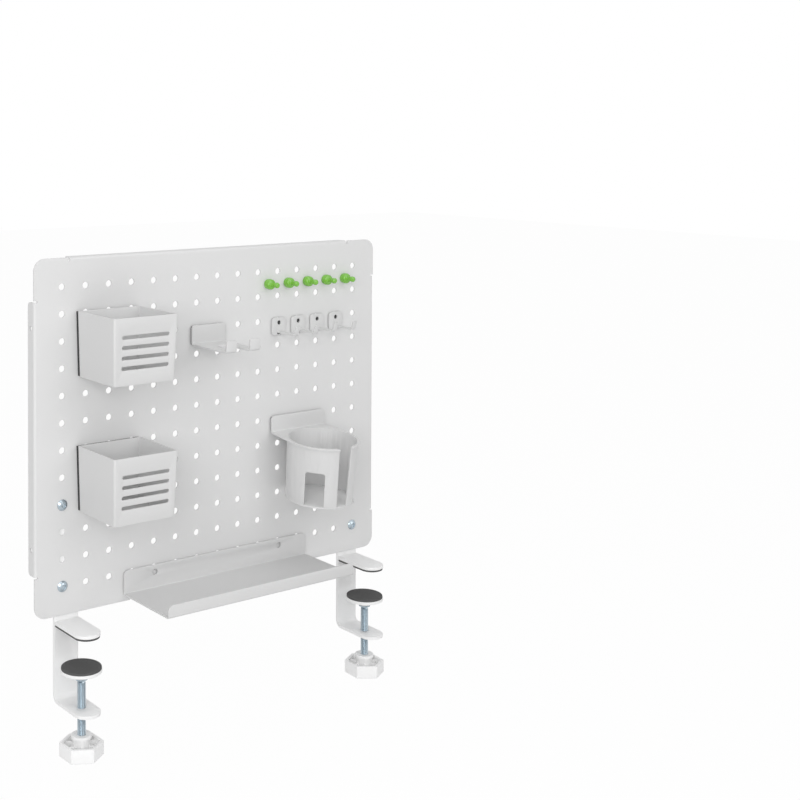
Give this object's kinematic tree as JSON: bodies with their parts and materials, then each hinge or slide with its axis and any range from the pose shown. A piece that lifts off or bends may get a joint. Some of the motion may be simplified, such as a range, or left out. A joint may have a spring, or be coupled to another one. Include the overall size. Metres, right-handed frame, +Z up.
{
  "type": "pegboard desk organizer",
  "caption": "White steel pegboard that clamps to a desk edge, with magnetic bins, a cup holder, a shelf, a phone holder, small hooks and push-pin magnets.",
  "frame": {"origin": "midway between the two clamps, in the plane of the board's front face, at the desk top that the upper jaws rest on", "axes": "+X to the right along the board seen from the front, +Y from the board's front to its back, +Z up"},
  "size_m": [0.414, 0.0916, 0.4564],
  "materials": {
    "board_paint": "fine-textured powder coat, light grey-white",
    "accessory_paint": "satin powder coat, light grey-white",
    "clamp_paint": "satin white powder coat",
    "knob_plastic": "moulded white plastic, slightly satin",
    "black_rubber": "matt dark grey rubber",
    "zinc_steel": "bright bluish zinc plating",
    "magnet_sheet": "matt flexible magnet sheet",
    "green_plastic": "glossy green plastic",
    "pin_magnet": "nickel-plated magnet"
  },
  "bodies": {
    "board": {"pegboard_panel": "board_paint", "clamp_bracket_left": "clamp_paint", "upper_jaw_left": "clamp_paint", "jaw_pad_left": "black_rubber", "clamp_bracket_right": "clamp_paint", "upper_jaw_right": "clamp_paint", "jaw_pad_right": "black_rubber", "bracket_screws": "zinc_steel", "bracket_washers": "zinc_steel", "bracket_nuts": "zinc_steel"},
    "clamp_left_carriage": {"retaining_ring_left": "zinc_steel"},
    "clamp_left_pad": {"pressure_disc_left": "clamp_paint", "rubber_disc_left": "black_rubber"},
    "clamp_left_spindle": {"clamp_screw_left": "zinc_steel", "clamp_knob_left": "knob_plastic"},
    "clamp_right_carriage": {"retaining_ring_right": "zinc_steel"},
    "clamp_right_pad": {"pressure_disc_right": "clamp_paint", "rubber_disc_right": "black_rubber"},
    "clamp_right_spindle": {"clamp_screw_right": "zinc_steel", "clamp_knob_right": "knob_plastic"},
    "upper_bin": {"upper_bin": "accessory_paint", "upper_bin_magnet": "magnet_sheet"},
    "lower_bin": {"lower_bin": "accessory_paint", "lower_bin_magnet": "magnet_sheet"},
    "phone_holder": {"phone_holder": "accessory_paint", "phone_holder_magnet": "magnet_sheet"},
    "hook_1": {"hook_1": "accessory_paint", "hook_1_magnet": "magnet_sheet"},
    "hook_2": {"hook_2": "accessory_paint", "hook_2_magnet": "magnet_sheet"},
    "hook_3": {"hook_3": "accessory_paint", "hook_3_magnet": "magnet_sheet"},
    "hook_4": {"hook_4": "accessory_paint", "hook_4_magnet": "magnet_sheet"},
    "cup_holder": {"cup_holder_rim": "accessory_paint", "cup_holder_sleeve": "accessory_paint", "cup_holder_floor": "accessory_paint", "cup_holder_magnet": "magnet_sheet"},
    "shelf": {"shelf_tray": "accessory_paint", "shelf_magnet": "magnet_sheet"},
    "pin_1": {"pin_1": "green_plastic", "pin_1_magnet": "pin_magnet"},
    "pin_2": {"pin_2": "green_plastic", "pin_2_magnet": "pin_magnet"},
    "pin_3": {"pin_3": "green_plastic", "pin_3_magnet": "pin_magnet"},
    "pin_4": {"pin_4": "green_plastic", "pin_4_magnet": "pin_magnet"},
    "pin_5": {"pin_5": "green_plastic", "pin_5_magnet": "pin_magnet"}
  },
  "joints": [
    {"name": "clamp_left_travel", "type": "slide", "parent": "board", "child": "clamp_left_carriage", "axis": [0, 0, 1], "range_m": [-0.024, 0.02]},
    {"name": "clamp_left_turn", "type": "hinge", "parent": "clamp_left_carriage", "child": "clamp_left_spindle", "pos_m": [-0.1728, -0.0265, -0.08], "axis": [0, 0, 1], "range_deg": [-6915, 5765]},
    {"name": "clamp_left_pad_tilt", "type": "hinge", "parent": "clamp_left_carriage", "child": "clamp_left_pad", "pos_m": [-0.1728, -0.0265, -0.037], "axis": [1, 0, 0], "range_deg": [-5, 5]},
    {"name": "clamp_right_travel", "type": "slide", "parent": "board", "child": "clamp_right_carriage", "axis": [0, 0, 1], "range_m": [-0.024, 0.02]},
    {"name": "clamp_right_turn", "type": "hinge", "parent": "clamp_right_carriage", "child": "clamp_right_spindle", "pos_m": [0.1728, -0.0265, -0.08], "axis": [0, 0, 1], "range_deg": [-6915, 5765]},
    {"name": "clamp_right_pad_tilt", "type": "hinge", "parent": "clamp_right_carriage", "child": "clamp_right_pad", "pos_m": [0.1728, -0.0265, -0.037], "axis": [1, 0, 0], "range_deg": [-5, 5]},
    {"name": "upper_bin_pull", "type": "slide", "parent": "board", "child": "upper_bin", "axis": [0, -1, 0], "range_m": [0, 0.04]},
    {"name": "lower_bin_pull", "type": "slide", "parent": "board", "child": "lower_bin", "axis": [0, -1, 0], "range_m": [0, 0.04]},
    {"name": "phone_holder_pull", "type": "slide", "parent": "board", "child": "phone_holder", "axis": [0, -1, 0], "range_m": [0, 0.04]},
    {"name": "hook_1_pull", "type": "slide", "parent": "board", "child": "hook_1", "axis": [0, -1, 0], "range_m": [0, 0.03]},
    {"name": "hook_2_pull", "type": "slide", "parent": "board", "child": "hook_2", "axis": [0, -1, 0], "range_m": [0, 0.03]},
    {"name": "hook_3_pull", "type": "slide", "parent": "board", "child": "hook_3", "axis": [0, -1, 0], "range_m": [0, 0.03]},
    {"name": "hook_4_pull", "type": "slide", "parent": "board", "child": "hook_4", "axis": [0, -1, 0], "range_m": [0, 0.03]},
    {"name": "cup_holder_pull", "type": "slide", "parent": "board", "child": "cup_holder", "axis": [0, -1, 0], "range_m": [0, 0.04]},
    {"name": "shelf_pull", "type": "slide", "parent": "board", "child": "shelf", "axis": [0, -1, 0], "range_m": [0, 0.04]},
    {"name": "pin_1_pull", "type": "slide", "parent": "board", "child": "pin_1", "axis": [0, -1, 0], "range_m": [0, 0.03]},
    {"name": "pin_2_pull", "type": "slide", "parent": "board", "child": "pin_2", "axis": [0, -1, 0], "range_m": [0, 0.03]},
    {"name": "pin_3_pull", "type": "slide", "parent": "board", "child": "pin_3", "axis": [0, -1, 0], "range_m": [0, 0.03]},
    {"name": "pin_4_pull", "type": "slide", "parent": "board", "child": "pin_4", "axis": [0, -1, 0], "range_m": [0, 0.03]},
    {"name": "pin_5_pull", "type": "slide", "parent": "board", "child": "pin_5", "axis": [0, -1, 0], "range_m": [0, 0.03]}
  ],
  "couplings": [
    {"joint": "clamp_left_turn", "follows": "clamp_left_travel", "rad_per_m": 5026.5},
    {"joint": "clamp_right_turn", "follows": "clamp_right_travel", "rad_per_m": 5026.5}
  ]
}
